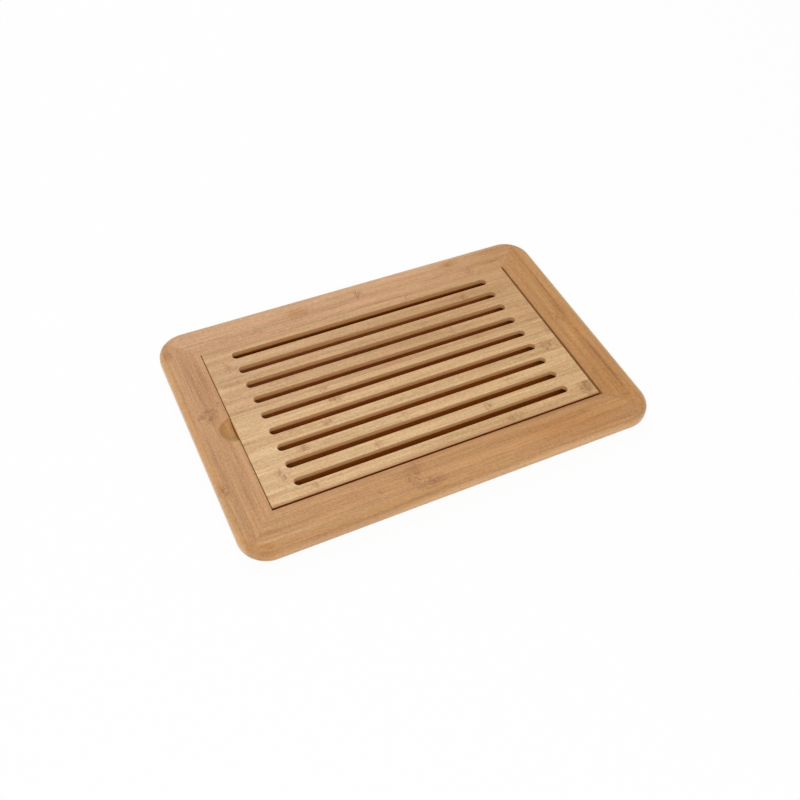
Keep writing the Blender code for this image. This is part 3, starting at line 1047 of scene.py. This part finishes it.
def stave_bamboo(index, rear, front):
    """The bamboo of one grid stave, with the glue lines at its two edges."""
    look = bpy.context.scene.bread_board_bamboo
    shape = bpy.context.scene.bread_board_shape
    screen = blended(look.grid_rear, look.grid_front, STAVE_TONE_SHARES[index])
    seed = seed_of("stave", index)
    bamboo = Bamboo(f"grid stave {index + 1} bamboo", screen, "X", seed, STAVE_STROKE_SHARE)
    glue = bamboo.stave_glue(rear, front)

    left_x = GRID_LOW.x / MM
    middle_x = (GRID_LOW.x + GRID_HIGH.x - shape.right_setback) / 2 / MM
    from_sides = middle_x - left_x - abs(bamboo.x - middle_x)
    from_front = bamboo.y - (GRID_LOW.y + shape.front_setback) / MM
    from_edge = bamboo.math("MINIMUM", from_sides, from_front)
    from_scoop = abs(bamboo.y - shape.scoop_place / MM)
    in_scoop = bamboo.fade(from_scoop, *SCOOP_SPAN) * bamboo.fade(bamboo.x - left_x, *SCOOP_FACE)

    def stave_color(color):
        routed = bamboo.fade(bamboo.z, *ROUTED_HEIGHTS) * ROUTED_SHARE
        color = bamboo.mix(routed, color, linear(look.routed))
        # Painted shade: deep in the slots the walls turn to the tray's dark colour.
        glow = bamboo.fade(bamboo.z, *SLOT_SHADE_HEIGHTS) * SLOT_SHADE_SHARE
        color = bamboo.mix(glow, color, linear(look.tray))
        low = bamboo.fade(bamboo.z, *SIDE_HEIGHTS)
        color = bamboo.mix(in_scoop * low * SCOOP_PALE_SHARE, color, linear(look.scoop))
        # Painted shade: the grid's sides in the seams take the seam colour, less so beside the
        # scoop.
        side = bamboo.fade(from_edge, *SIDE_FACE) * low
        # Painted shade: the top face darkens beside the front seam, towards the seam colour.
        front_seam_shade = bamboo.fade(from_front, *FRONT_SEAM_SHADE) * FRONT_SEAM_SHADE_SHARE
        dark = bamboo.math("MAXIMUM", front_seam_shade, side * (1 - in_scoop * SCOOP_LIGHT_SHARE))
        return bamboo.mix(dark, color, linear(look.seam)), side

    return bamboo.finish(STAVE_KNOTS[index], STAVE_STAINS[index], glue=glue, recolor=stave_color)


class BREADBOARD_OT_grid(bpy.types.Operator):
    """Build the lift-out grid from its glued staves"""

    bl_idname = "bread_board.grid"
    bl_label = "Grid"

    def execute(self, context):
        shape = context.scene.bread_board_shape
        blank = add_object("grid_blank", grid_blank_mesh(shape))
        for middle_y in slot_places(shape):
            carve(blank, slot_mesh(shape, middle_y))
        inner = [
            (behind[0].y + before[1].y) / 2 for behind, before in zip(STAVE_BOXES, STAVE_BOXES[1:])
        ]
        edges = [GRID_HIGH.y + OVERRUN, *inner, GRID_LOW.y - OVERRUN]
        past = Vector((OVERRUN, 0, OVERRUN))
        for index, (rear, front) in enumerate(zip(edges, edges[1:])):
            stave = add_object(f"grid_slat_{index + 1}", blank.data.copy())
            low = Vector((GRID_LOW.x, front, GRID_LOW.z)) - past
            high = Vector((GRID_HIGH.x, rear, GRID_HIGH.z)) + past
            carve(stave, box_mesh("strip", low, high), "INTERSECT")
            smooth(stave)
            material = stave_bamboo(index, rear, front)
            place_piece(stave, "grid", f"grid_stave_{index + 1}", material)
        bpy.data.objects.remove(blank)
        return {"FINISHED"}


# The crumb tray's floor and the splines


def tray_bamboo(index, low, high):
    """The dull bamboo of one of the tray's staves, darker and deeper than the rest as painted
    shade inside the tray, with a plain underside.
    """
    look = bpy.context.scene.bread_board_bamboo
    bamboo = Bamboo(f"tray stave {index + 1} bamboo", look.tray, "X", seed_of("tray", index))
    bamboo.put(bamboo.principled.inputs["Specular IOR Level"], TRAY_SPECULAR)
    below = bamboo.fade(bamboo.z - low.z / MM, *UNDERSIDE)

    def tray_color(color):
        return bamboo.mix(below, color, linear(look.rail_left)), None

    return bamboo.finish(glue=bamboo.stave_glue(low.y, high.y), recolor=tray_color)


def spline_bamboo(index, corner):
    """The plain bamboo of one spline."""
    look = bpy.context.scene.bread_board_bamboo
    return Bamboo(f"spline {corner} bamboo", look.spline, "X", seed_of("spline", index)).finish()


class BREADBOARD_OT_tray(bpy.types.Operator):
    """Build the staves of the crumb tray's floor and finish the hidden splines"""

    bl_idname = "bread_board.tray"
    bl_label = "Tray floor and splines"

    def execute(self, context):
        ease = context.scene.bread_board_shape.crisp_ease * TRAY_EASE_SHARE
        for index, (low, high) in enumerate(FLOOR_BOXES):
            behind = FLOOR_BOXES[index - 1][0].y if index else high.y
            before = FLOOR_BOXES[index + 1][1].y if index + 1 < STAVE_COUNT else low.y
            low = Vector((low.x, (low.y + before) / 2, low.z))
            high = Vector((high.x, (high.y + behind) / 2, high.z))
            stave = add_object(f"tray_slat_{index + 1}", box_mesh("floor stave", low, high, ease))
            smooth(stave)
            material = tray_bamboo(index, low, high)
            place_piece(stave, "frame", f"floor_stave_{index + 1}", material)
        for index, corner in enumerate(CORNERS):
            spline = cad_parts[f"spline_{corner}"]
            spline.data.materials.clear()
            spline.data.materials.append(spline_bamboo(index, corner))
        return {"FINISHED"}


# The studio


def aim(placed, target, roll=0):
    """Point a camera or a lamp at a place, turned about its own axis."""
    facing = (Vector(target) - placed.location).to_track_quat("-Z", "Y").to_matrix().to_4x4()
    placed.rotation_euler = (facing @ Matrix.Rotation(roll, 4, "Z")).to_euler()


def add_lamp(name, power, size, location):
    """A soft rectangular lamp that lights the board."""
    data = bpy.data.lights.new(name, "AREA")
    data.energy = power
    data.shape = "RECTANGLE"
    data.size, data.size_y = size
    lamp = add_object(name, data)
    lamp.location = location
    aim(lamp, (0, 0, 0))


def floor_material():
    """A white table that keeps a faint shadow and shows as plain white elsewhere."""
    shader = Shader("studio floor")
    shader.put(shader.principled.inputs["Base Color"], FLOOR_COLOR_SHARES)
    shader.put(shader.principled.inputs["Roughness"], FLOOR_ROUGHNESS)
    glow = shader.node("ShaderNodeEmission", {}, {"Color": WHITE, "Strength": 1})
    camera, glossy = (
        shader.node("ShaderNodeLightPath", {}, {}, ray)
        for ray in ("Is Camera Ray", "Is Glossy Ray")
    )
    seen = shader.math("MAXIMUM", camera, glossy) * FLOOR_GLOW_SHARE
    shader.show_mix(seen, Field(shader, shader.principled.outputs[0]), glow)
    return shader.material


def make_world(studio):
    """A white tent: plain white to the camera, softer as a light."""
    world = bpy.data.worlds.new("studio tent")
    world.use_nodes = True
    bpy.context.scene.world = world
    tree = world.node_tree
    tree.nodes.clear()
    path = tree.nodes.new("ShaderNodeLightPath")
    lit = tree.nodes.new("ShaderNodeBackground")
    lit.inputs["Strength"].default_value = studio.sky
    seen = tree.nodes.new("ShaderNodeBackground")
    seen.inputs["Strength"].default_value = 1
    for background in (lit, seen):
        background.inputs["Color"].default_value = (*WHITE, 1)
    blend = tree.nodes.new("ShaderNodeMixShader")
    output = tree.nodes.new("ShaderNodeOutputWorld")
    tree.links.new(path.outputs["Is Camera Ray"], blend.inputs[0])
    tree.links.new(lit.outputs[0], blend.inputs[1])
    tree.links.new(seen.outputs[0], blend.inputs[2])
    tree.links.new(blend.outputs[0], output.inputs[0])


class BREADBOARD_OT_stage(bpy.types.Operator):
    """Build the floor, the light and the camera"""

    bl_idname = "bread_board.stage"
    bl_label = "Stage"

    def execute(self, context):
        studio = context.scene.bread_board_studio
        floor_shape = bmesh.new()
        bmesh.ops.create_grid(
            floor_shape, x_segments=FLOOR_SQUARES, y_segments=FLOOR_SQUARES, size=FLOOR_REACH
        )
        floor = add_object("studio_floor", finished(floor_shape, "studio floor"))
        floor.data.materials.append(floor_material())
        floor.location.z = CAD_LOW.z - FLOOR_DROP
        make_world(studio)
        add_lamp("rear lamp", studio.rear_power, *REAR_LAMP)
        add_lamp("front lamp", studio.front_power, *FRONT_LAMP)
        data = bpy.data.cameras.new("camera")
        data.lens = studio.lens
        data.sensor_width = SENSOR_WIDTH
        camera = add_object("camera", data)
        camera.location = studio.camera_at
        aim(camera, studio.camera_aim, studio.camera_roll)
        context.scene.camera = camera
        context.scene.view_settings.view_transform = "Standard"
        return {"FINISHED"}


class BREADBOARD_PT_panel(bpy.types.Panel):
    """Lists the board's builders"""

    bl_idname = "BREADBOARD_PT_panel"
    bl_label = "Bread Board"
    bl_space_type = "VIEW_3D"
    bl_region_type = "UI"
    bl_category = "Bread Board"

    def draw(self, context):
        for builder in BUILDERS:
            self.layout.operator(builder.bl_idname)


BUILDERS = (BREADBOARD_OT_rails, BREADBOARD_OT_grid, BREADBOARD_OT_tray, BREADBOARD_OT_stage)
GROUPS = {
    "bread_board_shape": BreadBoardShape,
    "bread_board_bamboo": BreadBoardBamboo,
    "bread_board_studio": BreadBoardStudio,
}


def register():
    """Register the classes and hang the properties on the scene."""
    for cls in (*GROUPS.values(), *BUILDERS, BREADBOARD_PT_panel):
        bpy.utils.register_class(cls)
    for name, group in GROUPS.items():
        setattr(bpy.types.Scene, name, PointerProperty(type=group))


def unregister():
    """Take the properties and classes away again."""
    for name in GROUPS:
        delattr(bpy.types.Scene, name)
    for cls in reversed((*GROUPS.values(), *BUILDERS, BREADBOARD_PT_panel)):
        bpy.utils.unregister_class(cls)


def main():
    """Build everything."""
    register()
    bpy.ops.bread_board.rails()
    bpy.ops.bread_board.grid()
    bpy.ops.bread_board.tray()
    bpy.ops.bread_board.stage()


if __name__ == "__main__":
    main()
